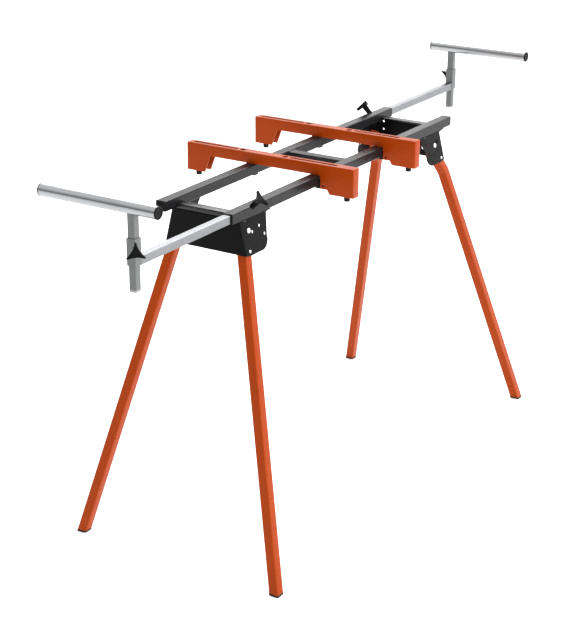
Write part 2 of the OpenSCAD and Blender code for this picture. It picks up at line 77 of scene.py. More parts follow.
PIVOT = {False: Vector((29.3, -33.2))}
LOCK = PIVOT[False] - LOCK_R * Vector((math.sin(rad(LEFT_LEAN)), math.cos(rad(LEFT_LEAN))))
PIVOT[True] = LOCK + LOCK_R * Vector(
    (math.sin(rad(RIGHT_TOP_LEAN)), math.cos(rad(RIGHT_TOP_LEAN)))
)
FOLD = {
    False: PIVOT[False] + Vector((LOCK_R, 0)),
    True: PIVOT[True] + LOCK_R * Vector((math.cos(rad(BEND)), -math.sin(rad(BEND)))),
}
FLOOR_W = (-RAIL_LOW + LEG_Y * math.sin(SPLAY)) / math.cos(SPLAY)
LEFT_REACH = (PIVOT[False].y - FLOOR_W) / math.cos(rad(LEFT_LEAN))
BEND_DROP = BEND_AT * math.cos(rad(RIGHT_TOP_LEAN))
RIGHT_REACH = (PIVOT[True].y - BEND_DROP - FLOOR_W) / math.cos(rad(RIGHT_LEAN))


# ---------------------------------------------------------------- frames
def T(x, y, z):
    return Matrix.Translation((x, y, z))


def R(angle, axis):
    return Matrix.Rotation(rad(angle), 4, axis)


def flip(x=False, y=False):
    return Matrix.Diagonal((-1 if x else 1, -1 if y else 1, 1, 1))


PLACED = T(SHIFT, 0, 0)
TURN = R(180, "Z")


def ear_frame(right, rear):
    return (
        PLACED
        @ flip(right, rear)
        @ T(-PLATE_X, -EAR_HALF, RAIL_LOW)
        @ Matrix.Rotation(-SPLAY, 4, "X")
    )


def leg_frame(right, rear):
    at = PIVOT[right]
    lean = RIGHT_TOP_LEAN if right else LEFT_LEAN
    return ear_frame(right, rear) @ T(at.x, LEG_Y, at.y) @ R(lean, "Y")


def foot_frame(right, rear):
    if right:
        return (
            leg_frame(right, rear)
            @ T(0, 0, -BEND_AT)
            @ R(-BEND, "Y")
            @ T(0, 0, -RIGHT_REACH)
        )
    return leg_frame(right, rear) @ T(0, 0, -LEFT_REACH)


def side_frame(side):
    """The left arm's own place, turned half round for the right arm."""
    return PLACED @ (TURN if side == "right" else Matrix.Identity(4))


def sleeve_x(side):
    return -RAIL_END - OUT[side] - 11.5


# ---------------------------------------------------------------- node materials
class Nodes:
    """Small helper that builds one Principled material."""

    def __init__(self, name):
        self.mat = bpy.data.materials.new(name)
        self.mat.use_nodes = True
        self.tree = self.mat.node_tree
        self.bsdf = self.tree.nodes["Principled BSDF"]
        self.coord = self.tree.nodes.new("ShaderNodeTexCoord").outputs["Object"]

    def new(self, kind, **sockets):
        n = self.tree.nodes.new(kind)
        for k, v in sockets.items():
            key = k.replace("_", " ")
            if isinstance(v, bpy.types.NodeSocket):
                self.tree.links.new(v, n.inputs[key])
            else:
                n.inputs[key].default_value = v
        return n

    def stretched(self, scale):
        n = self.tree.nodes.new("ShaderNodeMapping")
        n.inputs["Scale"].default_value = scale
        self.tree.links.new(self.coord, n.inputs["Vector"])
        return n.outputs["Vector"]

    def noise(self, scale, detail=3.0, rough=0.55, vector=None):
        n = self.new("ShaderNodeTexNoise", Scale=scale, Detail=detail, Roughness=rough)
        self.tree.links.new(vector or self.coord, n.inputs["Vector"])
        return n.outputs["Fac"]

    def ramp(self, fac, low, high, a=0.0, b=1.0):
        n = self.tree.nodes.new("ShaderNodeMapRange")
        self.tree.links.new(fac, n.inputs["Value"])
        for key, v in (("From Min", low), ("From Max", high), ("To Min", a), ("To Max", b)):
            n.inputs[key].default_value = v
        return n.outputs["Result"]

    def math(self, op, a, b):
        n = self.tree.nodes.new("ShaderNodeMath")
        n.operation = op
        for i, v in enumerate((a, b)):
            if isinstance(v, bpy.types.NodeSocket):
                self.tree.links.new(v, n.inputs[i])
            else:
                n.inputs[i].default_value = v
        return n.outputs[0]

    def mix(self, fac, a, b, blend="MIX"):
        n = self.tree.nodes.new("ShaderNodeMix")
        n.data_type = "RGBA"
        n.blend_type = blend
        for key, v in ((0, fac), (6, a), (7, b)):
            if isinstance(v, bpy.types.NodeSocket):
                self.tree.links.new(v, n.inputs[key])
            elif key == 0:
                n.inputs[key].default_value = v
            else:
                n.inputs[key].default_value = (*v, 1)
        return n.outputs[2]

    def edges(self, radius):
        """About 1 on convex and concave edges, 0 on flats."""
        bevel = self.tree.nodes.new("ShaderNodeBevel")
        bevel.samples = 4
        bevel.inputs["Radius"].default_value = radius
        geo = self.tree.nodes.new("ShaderNodeNewGeometry")
        dot = self.tree.nodes.new("ShaderNodeVectorMath")
        dot.operation = "DOT_PRODUCT"
        self.tree.links.new(bevel.outputs[0], dot.inputs[0])
        self.tree.links.new(geo.outputs["Normal"], dot.inputs[1])
        return self.ramp(dot.outputs["Value"], 0.995, 0.9)

    def bump(self, height, strength, distance):
        n = self.new("ShaderNodeBump", Strength=strength, Distance=distance, Height=height)
        self.link("Normal", n.outputs["Normal"])

    def link(self, name, value):
        if isinstance(value, bpy.types.NodeSocket):
            self.tree.links.new(value, self.bsdf.inputs[name])
        elif name == "Base Color":
            self.bsdf.inputs[name].default_value = (*value, 1)
        else:
            self.bsdf.inputs[name].default_value = value


def powder_coat(name, colour, dark, wear_and_highlight, rough, edge_highlight=0.5, spec=0.5, flake=0.0):
    """Baked powder coat: orange peel, faint mottling, painted highlights along the edges and light
    scuffs.
    """
    m = Nodes(name)
    mottle = m.ramp(m.noise(9, 3), 0.35, 0.7)
    c = m.mix(m.math("MULTIPLY", mottle, 0.35), colour, dark)
    grain = m.ramp(m.noise(420, 2), 0.4, 0.75)
    c = m.mix(m.math("MULTIPLY", grain, 0.10 + flake), c, wear_and_highlight)
    scuff = m.ramp(m.noise(26, 8, 0.75), 0.60, 0.74)
    # painted highlight: the edges are mixed toward the pale tint by the edge amount; the same pale
    # tint also gives the grain flecks and scuffs
    edge = m.edges(0.0012)
    edge = m.math("MULTIPLY", edge, m.ramp(m.noise(60, 4), 0.3, 0.7, 0.25, 1.0))
    c = m.mix(m.math("MULTIPLY", edge, edge_highlight), c, wear_and_highlight)
    c = m.mix(m.math("MULTIPLY", scuff, 0.10), c, wear_and_highlight)
    m.link("Base Color", c)
    r = m.ramp(m.noise(38, 5, 0.65), 0.3, 0.75, rough - 0.06, rough + 0.10)
    m.link("Roughness", r)
    m.link("Specular IOR Level", spec)
    m.bump(m.noise(650, 2, 0.5), 0.22, 0.0004)
    return m.mat


def plated(name, colour, stretch, rough=0.3, dull=0.12, metal=1.0):
    """Zinc plated or drawn steel: fine lengthwise draw lines, soft spangle, dull patches."""
    m = Nodes(name)
    lines = m.noise(1.0, 4, 0.6, m.stretched(stretch))
    cloud = m.ramp(m.noise(14, 4, 0.6), 0.35, 0.7)
    v = m.new("ShaderNodeTexVoronoi", Scale=160.0)
    m.tree.links.new(m.coord, v.inputs["Vector"])
    spangle = m.ramp(v.outputs["Distance"], 0.1, 0.7)
    low = tuple(x * 0.80 for x in colour)
    c = m.mix(m.math("MULTIPLY", cloud, 0.55), colour, low)
    c = m.mix(m.math("MULTIPLY", spangle, 0.10), c, tuple(min(1, x * 1.1) for x in colour))
    c = m.mix(m.math("MULTIPLY", m.ramp(lines, 0.45, 0.7), 0.16), c, tuple(x * 0.6 for x in colour))
    m.link("Base Color", c)
    m.link("Metallic", metal)
    m.link("Roughness", m.ramp(lines, 0.25, 0.75, rough - dull / 2, rough + dull))
    m.bump(lines, 0.12, 0.0003)
    return m.mat


def plastic(name, colour, rough, grain=900, strength=0.25, light=1.6, spec=0.15):
    """Moulded plastic or rubber: fine grain, paler rubbed edges, faint dust."""
    m = Nodes(name)
    pale = tuple(min(1, x * light + 0.012) for x in colour)
    c = m.mix(m.math("MULTIPLY", m.ramp(m.noise(45, 5, 0.7), 0.4, 0.75), 0.5), colour, pale)
    edge = m.math("MULTIPLY", m.edges(0.0009), 0.5)
    c = m.mix(edge, c, tuple(min(1, x * 2.2 + 0.02) for x in colour))
    m.link("Base Color", c)
    m.link("Roughness", m.ramp(m.noise(70, 4), 0.3, 0.7, rough - 0.06, rough + 0.09))
    m.link("Specular IOR Level", spec)
    m.bump(m.noise(grain, 2, 0.6), strength, 0.0003)
    return m.mat


def cut(c):
    """sRGB 0-255 to linear."""
    return tuple((x / 255 / 12.92) if x <= 10 else ((x / 255 + 0.055) / 1.055) ** 2.4 for x in c)


# the fourth colour is pale wear and also the painted edge highlight; the sixth argument is the
# strength of that painted edge highlight
ORANGE = powder_coat("orange_coat", cut((156, 56, 2)), cut((142, 46, 2)), cut((238, 138, 62)),
    0.3, 0.8, 0.1, -0.07)
CHARCOAL = powder_coat("charcoal_coat", cut((26, 26, 28)), cut((20, 20, 22)), cut((70, 70, 74)),
    0.24, 0.4,
                       0.15, -0.04)
# the brackets' black paint again, made lighter for the folded lip: painted highlight
LIT_LIP_BLACK = powder_coat("black_paint_lit_lip", cut((22, 22, 24)), cut((17, 17, 18)), cut((60, 60, 62)), 0.3,
    0.4, 0.4)
BLACK = powder_coat("black_coat", cut((11, 11, 11)), cut((8, 8, 8)), cut((42, 42, 43)), 0.42, 0.3,
    0.06)
# one drawn steel in three copies: lightest on the bars, darker on the extension tubes, darkest on
# the posts, sleeves and welds; the darker copies are painted shade
STEEL_X_SHADED = plated("drawn_steel_x_painted_shade", (0.23, 0.235, 0.245), (8, 900, 900))
STEEL_Y = plated("drawn_steel_y", (0.40, 0.41, 0.42), (900, 8, 900), 0.26)
STEEL_Z_SHADED = plated("drawn_steel_z_painted_shade", (0.14, 0.147, 0.147), (900, 900, 8), 0.3, metal=0.4)
ZINC = plated("zinc_plate", (0.76, 0.77, 0.78), (300, 300, 300), 0.28)
DULL_ZINC = plated("dull_zinc", (0.10, 0.10, 0.105), (300, 300, 300), 0.4, metal=0.6)
GREY_PLASTIC = plastic("grey_plug", cut((150, 151, 148)), 0.5, light=1.1)
BLACK_PLASTIC = plastic("black_plastic", cut((11, 11, 11)), 0.45, spec=0.07)
KNOB_PLASTIC = plastic("knob_plastic", cut((8, 8, 8)), 0.4, 1200, 0.15, 1.3, 0.05)
RUBBER = plastic("rubber", cut((22, 22, 23)), 0.72, 500, 0.45, 1.9)


# ---------------------------------------------------------------- mesh helpers
def tidy_edges(bm, limit=32):
    for f in bm.faces:
        f.smooth = True
    for e in bm.edges:
        e.smooth = not (len(e.link_faces) == 2 and e.calc_face_angle(0) > rad(limit))


def finish_piece(name, bm, place, body, slot, material, *nodes, limit=32):
    """Scales a millimetre mesh to metres in the shared frame and makes it a piece."""
    bm.transform(Matrix.Scale(0.001, 4) @ place)
    bmesh.ops.recalc_face_normals(bm, faces=bm.faces)
    tidy_edges(bm, limit)
    me = bpy.data.meshes.new(name)
    bm.to_mesh(me)
    bm.free()
    obj = bpy.data.objects.new(name, me)
    bpy.context.scene.collection.objects.link(obj)
    me.materials.append(material)
    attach(obj, body)
    if nodes:
        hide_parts(*nodes)
    return obj


def bm_join(*parts):
    """One bmesh out of several (bmesh, matrix) pairs."""
    out = bmesh.new()
    for bm, mat in parts:
        me = bpy.data.meshes.new("part")
        bm.transform(mat)
        if mat.determinant() < 0:
            bmesh.ops.reverse_faces(bm, faces=bm.faces)
        bm.to_mesh(me)
        bm.free()
        out.from_mesh(me)
        bpy.data.meshes.remove(me)
    return out


def prism(points, depth, origin=0.0):
    """Closed outline in XY, extruded along +Z from origin."""
    bm = bmesh.new()
    low = [bm.verts.new((p[0], p[1], origin)) for p in points]
    high = [bm.verts.new((p[0], p[1], origin + depth)) for p in points]
    n = len(points)
    bm.faces.new(low[::-1])
    bm.faces.new(high)
    for i in range(n):
        bm.faces.new((low[i], low[(i + 1) % n], high[(i + 1) % n], high[i]))
    bmesh.ops.recalc_face_normals(bm, faces=bm.faces)
    return bm


def loft(rings, cap=True):
    """Skins a list of equally long rings of 3-D points."""
    bm = bmesh.new()
    made = [[bm.verts.new(p) for p in ring] for ring in rings]
    n = len(rings[0])
    for a, b in zip(made, made[1:]):
        for i in range(n):
            bm.faces.new((a[i], a[(i + 1) % n], b[(i + 1) % n], b[i]))
    if cap:
        bm.faces.new(made[0][::-1])
        bm.faces.new(made[-1])
    else:
        a, b = made[-1], made[0]
        for i in range(n):
            bm.faces.new((a[i], a[(i + 1) % n], b[(i + 1) % n], b[i]))
    bmesh.ops.recalc_face_normals(bm, faces=bm.faces)
    return bm


def turned(profile, steps=48):
    """Revolves (radius, height) points round Z; radius 0 closes the end."""
    rings = []
    bm = bmesh.new()
    for r, z in profile:
        if r < 1e-6:
            rings.append([bm.verts.new((0, 0, z))])
        else:
            rings.append(
                [bm.verts.new((*polar(360 * i / steps, r), z)) for i in range(steps)]
            )
    for a, b in zip(rings, rings[1:]):
        for i in range(steps):
            j = (i + 1) % steps
            if len(a) == 1 and len(b) == 1:
                continue
            if len(a) == 1:
                bm.faces.new((a[0], b[j], b[i]))
            elif len(b) == 1:
                bm.faces.new((a[i], a[j], b[0]))
            else:
                bm.faces.new((a[i], a[j], b[j], b[i]))
    bmesh.ops.recalc_face_normals(bm, faces=bm.faces)
    return bm


def turned_ring(profile, steps=48):
    """Revolves a closed (radius, height) loop round Z."""
    rings = [
        [(r * math.cos(t), r * math.sin(t), z) for r, z in profile]
        for t in (2 * math.pi * i / steps for i in range(steps))
    ]
    return loft(rings, cap=False)


def round_rect(w, h, r, steps=5):
    pts = []
    for cx, cy, a0 in ((1, 1, 0), (-1, 1, 90), (-1, -1, 180), (1, -1, 270)):
        for i in range(steps + 1):
            p = polar(a0 + 90 * i / steps, r)
            pts.append((cx * (w / 2 - r) + p.x, cy * (h / 2 - r) + p.y))
    return pts


def block(x0, x1, y0, y1, z0, z1):
    return prism([(x0, y0), (x1, y0), (x1, y1), (x0, y1)], z1 - z0, z0)


def rod(r, z0, z1, steps=40):
    return prism([tuple(polar(360 * i / steps, r)) for i in range(steps)], z1 - z0, z0)


def to_object(bm, name="work"):
    me = bpy.data.meshes.new(name)
    bm.to_mesh(me)
    bm.free()
    obj = bpy.data.objects.new(name, me)
    bpy.context.scene.collection.objects.link(obj)
    return obj


def carve(bm, cutters, operation="DIFFERENCE"):
    """Exact boolean of a bmesh with several others."""
    base = to_object(bm)
    tools = [to_object(c, "tool") for c in cutters]
    for t in tools:
        mod = base.modifiers.new("cut", "BOOLEAN")
        mod.operation = operation
        mod.solver = "EXACT"
        mod.object = t
    bpy.context.view_layer.update()
    dg = bpy.context.evaluated_depsgraph_get()
    out = bmesh.new()
    out.from_mesh(base.evaluated_get(dg).to_mesh())
    for o in (base, *tools):
        me = o.data
        bpy.data.objects.remove(o)
        bpy.data.meshes.remove(me)
    bmesh.ops.remove_doubles(out, verts=out.verts, dist=1e-4)
    bmesh.ops.dissolve_limit(
        out, angle_limit=rad(0.5), verts=out.verts, edges=out.edges, delimit={"NORMAL"}
    )
    return out


def soften(bm, width, segments=2, angle=40, pick=None):
    """Bevels the sharp edges, or those that pick(edge) chooses."""
    edges = [
        e
        for e in bm.edges
        if len(e.link_faces) == 2
        and (pick(e) if pick else True)
        and e.calc_face_angle(0) > rad(angle)
    ]
    bmesh.ops.bevel(
        bm, geom=edges, offset=width, segments=segments, profile=0.5, affect="EDGES",
        clamp_overlap=True, loop_slide=True,
    )
    return bm


def bent_strip(points, t, r, steps=6):
    """Outline of a bent strip of thickness t along a 2-D polyline, with round bends."""
    pts = [Vector(p) for p in points]
    mid, nrm = [], []
    for i, p in enumerate(pts):
        if i in (0, len(pts) - 1):
            q = pts[1] if i == 0 else pts[-2]
            d = (q - p).normalized() if i == 0 else (p - q).normalized()
            mid.append(p)
            nrm.append(Vector((-d.y, d.x)))
            continue
        a, b = (pts[i - 1] - p).normalized(), (pts[i + 1] - p).normalized()
        half = a.angle(b) / 2
        reach = r / math.tan(half)
        c = p + (a + b).normalized() * (r / math.sin(half))
        s, e = p + a * reach - c, p + b * reach - c
        turn = math.atan2(s.x * e.y - s.y * e.x, s.dot(e))
        for k in range(steps + 1):
            w = Matrix.Rotation(turn * k / steps, 2) @ s
            mid.append(c + w)
            n = w.normalized()
            nrm.append(n if turn < 0 else -n)
    return [tuple(m + n * t / 2) for m, n in zip(mid, nrm)] + [
        tuple(m - n * t / 2) for m, n in reversed(list(zip(mid, nrm)))
    ]


def bead(points, radius, seed=0, steps=8, closed=False):
    """Weld bead: a lumpy round string along 3-D points."""
    pts = [Vector(p) for p in points]
    rings = []
    n = len(pts)
    for i, p in enumerate(pts):
        prev = pts[(i - 1) % n] if closed or i else pts[0]
        nxt = pts[(i + 1) % n] if closed or i < n - 1 else pts[-1]
        d = (nxt - prev).normalized()
        q = d.to_track_quat("Z", "Y")
        swell = radius * (1 + 0.16 * math.sin(i * 2.1 + seed) + 0.08 * math.sin(i * 5.3 + seed))
        if not closed and i in (0, n - 1):
            swell *= 0.45
        rings.append([p + q @ Vector((*polar(360 * k / steps, swell), 0)) for k in range(steps)])
    return loft(rings, cap=not closed)


def along_rect(w, h, r, count):
    """count points evenly along a rounded rectangle."""
    ring = [Vector(p) for p in round_rect(w, h, r)]
    ring.append(ring[0])
    steps = [(b - a).length for a, b in zip(ring, ring[1:])]
    total = sum(steps)
    out = []
    for i in range(count):
        d = total * i / count
        k = 0
        while d > steps[k]:
            d -= steps[k]
            k += 1
        out.append(ring[k].lerp(ring[k + 1], d / max(steps[k], 1e-9)))
    return out


def hex_solid(across, h, chamfer=0.12, washer=0.0, z0=0.0):
    """Hexagon with its top corners turned off, on an optional round flange."""
    corner, flat, steps = across / math.sqrt(3), across / 2, 48

    def hexed(a):
        return flat / math.cos(rad((a % 60) - 30))

    rings = []
    if washer:
        for r, z in ((washer, 0.0), (washer, 1.0), (washer - 0.6, 1.5)):
            rings.append([(*polar(360 * i / steps, r), z0 + z) for i in range(steps)])
    base = 1.5 if washer else 0.0
    for z, limit in ((base, 9e9), (h - chamfer * across, corner), (h - chamfer * across * 0.4,
        flat * 1.04),
                     (h, flat * 0.9)):
        rings.append(
            [(*polar(a, min(hexed(a), limit)),
                z0 + z) for a in (360 * i / steps for i in range(steps))]
        )
    return loft(rings)


# ---------------------------------------------------------------- camera, light, floor
def make_camera():
    yaw, pitch, roll = rad(32.2298), rad(-21.3385), rad(0.2152)
    ahead = Vector(
        (math.cos(yaw) * math.cos(pitch), math.sin(yaw) * math.cos(pitch), math.sin(pitch))
    )
    right = ahead.cross(Vector((0, 0, 1))).normalized()
    up = right.cross(ahead)
    r2 = right * math.cos(roll) + up * math.sin(roll)
    u2 = up * math.cos(roll) - right * math.sin(roll)
    data = bpy.data.cameras.new("camera")
    data.sensor_width = 36
    data.lens = 1566.8 * 36 / 640
    data.clip_end = 200
    cam = bpy.data.objects.new("camera", data)
    cam.matrix_world = Matrix.Translation((-3.3388, -1.9938, 1.9271)) @ Matrix(
        (r2, u2, -ahead)
    ).transposed().to_4x4()
    bpy.context.scene.collection.objects.link(cam)
    bpy.context.scene.camera = cam


def make_light(name, place, aim, size, power, colour=(1, 1, 1)):
    data = bpy.data.lights.new(name, "AREA")
    data.shape = "RECTANGLE"
    data.size, data.size_y = size
    data.energy = power
    data.color = colour
    obj = bpy.data.objects.new(name, data)
    obj.location = place
    obj.rotation_euler = (Vector(aim) - Vector(place)).to_track_quat("-Z", "Y").to_euler()
    bpy.context.scene.collection.objects.link(obj)


def make_world():
    """Soft white room, brighter behind the stand and darker on its left, so steel shows bands."""
    world = bpy.data.worlds.new("room")
    bpy.context.scene.world = world
    world.use_nodes = True
    nt = world.node_tree
    bg = nt.nodes["Background"]
    coord = nt.nodes.new("ShaderNodeTexCoord")
    norm = nt.nodes.new("ShaderNodeVectorMath")
    norm.operation = "NORMALIZE"
    nt.links.new(coord.outputs["Generated"], norm.inputs[0])
    dot = nt.nodes.new("ShaderNodeVectorMath")
    dot.operation = "DOT_PRODUCT"
    dot.inputs[1].default_value = Vector((-0.90, 0.43, -0.10)).normalized()
    nt.links.new(norm.outputs[0], dot.inputs[0])
    share = nt.nodes.new("ShaderNodeMath")
    share.operation = "MULTIPLY_ADD"
    share.inputs[1].default_value = 0.5
    share.inputs[2].default_value = 0.5
    nt.links.new(dot.outputs["Value"], share.inputs[0])
    ramp = nt.nodes.new("ShaderNodeValToRGB")
    nt.links.new(share.outputs[0], ramp.inputs["Fac"])
    stops = ramp.color_ramp.elements
    stops[0].position, stops[0].color = 0.08, (2.3, 2.3, 2.3, 1)
    stops[1].position, stops[1].color = 0.97, (0.17, 0.175, 0.18, 1)
    for at in (0.30, 0.82):
        stops.new(at).color = (1.0, 1.0, 1.0, 1)
    nt.links.new(ramp.outputs["Color"], bg.inputs["Color"])
    bg.inputs["Strength"].default_value = 1.2


def make_floor():
    bm = bmesh.new()
    size, n = 30.0, 8
    grid = [
        [bm.verts.new((-size + 2 * size * i / n, -size + 2 * size * j / n,
            0)) for j in range(n + 1)]
        for i in range(n + 1)
    ]
    for i in range(n):
        for j in range(n):
            bm.faces.new((grid[i][j], grid[i + 1][j], grid[i + 1][j + 1], grid[i][j + 1]))
    me = bpy.data.meshes.new("floor")
    bm.to_mesh(me)
    bm.free()
    m = Nodes("pale_floor")
    fine = m.ramp(m.noise(3, 4), 0.3, 0.7)
    m.link("Base Color", m.mix(fine, (0.97, 0.97, 0.97), (0.95, 0.95, 0.95)))
    m.link("Roughness", 0.8)
    m.bump(m.noise(120, 3), 0.05, 0.0005)
    me.materials.append(m.mat)
    floor = bpy.data.objects.new("floor", me)
    bpy.context.scene.collection.objects.link(floor)


make_camera()
make_world()
make_light("key", (0.9, -3.4, 3.6), (0, 0, 0.6), (3.0, 2.0), 85)
make_light("top", (2.4, 1.6, 3.6), (0, 0, 0.8), (3.0, 2.0), 110)
make_floor()
bpy.context.scene.view_settings.view_transform = "Standard"
bpy.context.scene.view_settings.look = "None"


# ---------------------------------------------------------------- CAD nodes that stay
def dress(material, slot_nodes):
    for n in slot_nodes:
        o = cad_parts[n]
        o.data.materials.clear()
        o.data.materials.append(material)


dress(CHARCOAL, ("front_rail", "rear_rail", "middle_crossbar"))
dress(BLACK, ("rail_knob_nuts", "left_latch_pin", "right_latch_pin"))
# the extension tubes and posts take the darker steel copies, painted shade
dress(STEEL_X_SHADED, ("left_extension_tube", "right_extension_tube"))
dress(STEEL_Z_SHADED, ("left_post", "right_post", "left_post_sleeve", "right_post_sleeve"))
dress(ZINC, ("left_post_knob_nut", "right_post_knob_nut"))
dress(BLACK_PLASTIC, ("left_extension_glide", "right_extension_glide"))


# ---------------------------------------------------------------- frame pieces
def rail_ends(side):
    """Cap on the closed end and collar on the open end of one rail."""
    place = side_frame("left" if side == "front" else "right") @ T(0, -RAIL_Y, RAIL_MID) @ R(90,
        "Y") @ R(90, "Z")
    # local: X across, Y up, Z along the rail
    w, h = RAIL_W, RAIL_H
    shell = [
        [(x, y, z) for x, y in round_rect(w - 2 * g, h - 2 * g, max(2.8 - g, 1))]
        for z, g in ((0.0, 0.0), (1.7, 0.0), (2.5, 0.35), (3.0, 1.1), (3.0, 3.0), (2.3, 3.6))
    ]
    cap = loft(shell)
    plug = prism(round_rect(w - 3.4, h - 3.4, 1.2), 12, -12)
    ribs = [
        (block(-9 + 6 * i, -8 + 6 * i, -h / 2 + 1.3, h / 2 - 1.3, -11, -0.5), Matrix.Identity(4))
        for i in range(4)
    ]
    both = bm_join((cap, T(0, 0, RAIL_END)), (plug, T(0, 0, RAIL_END)), *[(b, T(0, 0,
        RAIL_END)) for b, _ in ribs])
    inner = round_rect(20.6, 20.6, 2.0)
    outer = [
        [(x, y, z) for x, y in round_rect(w - 2 * g, h - 2 * g, max(2.6 - g, 1))]
        for z, g in ((0.4, 1.7), (0.0, 1.7), (0.0, 0.1), (-1.3, 0.1), (-2.0, 0.7))
    ]
    hole = [[(x, y, z) for x, y in inner] for z in (-2.0, 25.0)]
    wall = [[(x, y, z) for x, y in round_rect(w - 3.4, h - 3.4, 1.2)] for z in (25.0, 0.4)]
    collar = loft([*outer, *hole, *wall], cap=False)
    return place, both, bm_join((collar, T(0, 0, -RAIL_END)))


caps, bushes = [], []
for end in ("front", "rear"):
    place, cap, collar = rail_ends(end)
    caps.append((cap, place))
    bushes.append((collar, place))
finish_piece("end_caps", bm_join(*caps), Matrix.Identity(4), "frame", "black_plastic",
    BLACK_PLASTIC, "rail_end_caps")
finish_piece("bushes", bm_join(*bushes), Matrix.Identity(4), "frame", "black_plastic",
    BLACK_PLASTIC, "rail_bushes")


def crossbar_welds():
    parts = []
    for s in (-1, 1):
        pts = [
            (p.x, s * (RAIL_IN - 0.6), RAIL_MID - 2 + p.y)
            for p in along_rect(RAIL_W, RAIL_H, 2.5, 52)
        ]
        parts.append((bead(pts, 1.5, s, closed=True), PLACED))
    return bm_join(*parts)


finish_piece("crossbar_welds", crossbar_welds(), Matrix.Identity(4), "frame", "charcoal_paint",
    CHARCOAL)


def bracket(right):
    low = RAIL_LOW - CORNER_H * math.cos(SPLAY)
    ear_low = RAIL_LOW - EAR_H * math.cos(SPLAY)
    half = lambda z: EAR_HALF + SLOPE * (RAIL_LOW - z)
    long = EAR_TOP

    def trough(inset, length, x0, down, up, radius, steps):
        # trapezoid across Y and Z, extruded along +X from x0
        y0, y1 = half(ear_low - down) - inset, half(RAIL_LOW + up) - inset
        bm = bmesh.new()
        ends = []
        for x in (x0, x0 + length):
            ends.append([
                bm.verts.new(p)
                for p in ((x, -y0, ear_low - down), (x, y0, ear_low - down), (x, y1,
                    RAIL_LOW + up), (x, -y1, RAIL_LOW + up))
            ])
        a, b = ends
        bm.faces.new(a[::-1])
        bm.faces.new(b)
        for i in range(4):
            bm.faces.new((a[i], a[(i + 1) % 4], b[(i + 1) % 4], b[i]))
        bmesh.ops.recalc_face_normals(bm, faces=bm.faces)
        pick = lambda e: all(abs(v.co.x - x0) < 0.01 for v in e.verts) and abs(
            e.verts[0].co.z - e.verts[1].co.z) > 10
        return soften(bm, radius, steps, 20, pick)

    outer = trough(0, long, -PLATE_X, 0, 0, 5.6, 6)
    thick = SHEET / math.cos(SPLAY)
    inner = trough(thick, long + 20, SHEET - PLATE_X, 20, 20, 3.2, 5)
    under = prism([(-PLATE_X - 10, low), (-PLATE_X, low), (-PLATE_X + 22, ear_low),
        (-PLATE_X + 22, ear_low - 9),
                   (-PLATE_X - 10, ear_low - 9)], 400, -200)
    under.transform(R(90, "X"))
    cutters = [inner, under]
    # the ears' lower inboard corner
    corner = [(long + 30, 30), (long, 0), (long - 19, -62)]
    centre = Vector((long - 47, -EAR_H + 30))
    for i in range(13):
        corner.append(tuple(centre + polar(340 - 360 - 70 * i / 12, 30)))
    corner += [(long - 47, -EAR_H - 40), (long + 30, -EAR_H - 40)]
    for rear in (False, True):
        away = prism(corner, 80, -50)
        m = ear_frame(False, rear)
        m = PLACED.inverted() @ m @ R(90, "X")
        away.transform(m)
        if m.determinant() < 0:
            bmesh.ops.reverse_faces(away, faces=away.faces)
        cutters.append(away)
        s = 1 if rear else -1
        if right:
            y = sorted((s * 80, s * (half(low + 13) - thick - 0.2)))
            cutters.append(block(-PLATE_X - 5, -PLATE_X + SHEET + 1, y[0], y[1], low - 12,
                low + 13))
        for at in (PIVOT[False], PIVOT[True], LOCK, FOLD[False], FOLD[True]):
            hole = rod(PIN_HOLE_R, -6, 10)
            hm = PLACED.inverted() @ ear_frame(False, rear) @ T(at.x, 0, at.y) @ R(-90, "X")
            hole.transform(hm)
            if hm.determinant() < 0:
                bmesh.ops.reverse_faces(hole, faces=hole.faces)
            cutters.append(hole)
        for z in (RAIL_LOW - 5, RAIL_LOW - 27) if right else ():
            hole = rod(3, -PLATE_X - 4, -PLATE_X + SHEET + 4)
            hole.transform(T(0, s * 81, z) @ R(90, "Y"))
            cutters.append(hole)
    body = carve(outer, cutters)
    soften(body, 0.45, 2, 50)
    # upper lip between the rails, folded inboard
    lip = prism(
        bent_strip([(-PLATE_X + SHEET / 2, RAIL_LOW - 3), (-PLATE_X + SHEET / 2,
            RAIL_LOW + 11 - SHEET / 2),
                    (-PLATE_X + 25, RAIL_LOW + 11 - SHEET / 2)], SHEET, 2.6),
        2 * RAIL_IN - 0.4, -RAIL_IN + 0.2)
    soften(lip, 0.4, 2, 60)
    lip_m = Matrix(((1, 0, 0, 0), (0, 0, 1, 0), (0, 1, 0, 0), (0, 0, 0, 1)))
    parts = [(body, Matrix.Identity(4))]
    for s in (-1, 1):
        y = sorted((s * (EAR_HALF - 2), s * (EAR_HALF + 13)))
        tab = block(-PLATE_X + 1, -PLATE_X + EAR_TOP - 1, y[0], y[1], RAIL_LOW - SHEET, RAIL_LOW)
        soften(tab, 0.5, 2, 50)
        parts.append((tab, Matrix.Identity(4)))
    at = PLACED @ flip(right)
    return bm_join((bm_join(*parts), at)), bm_join((lip, at @ lip_m))


for side in ("left", "right"):
    sheet, lip = bracket(side == "right")
    finish_piece(side + "_bracket", sheet, Matrix.Identity(4), "frame", "black_paint", BLACK,
        side + "_leg_bracket")
    # the lip takes the lighter copy of the black paint, a painted highlight
    finish_piece(side + "_bracket_flange", lip, Matrix.Identity(4), "frame", "black_paint", LIT_LIP_BLACK)


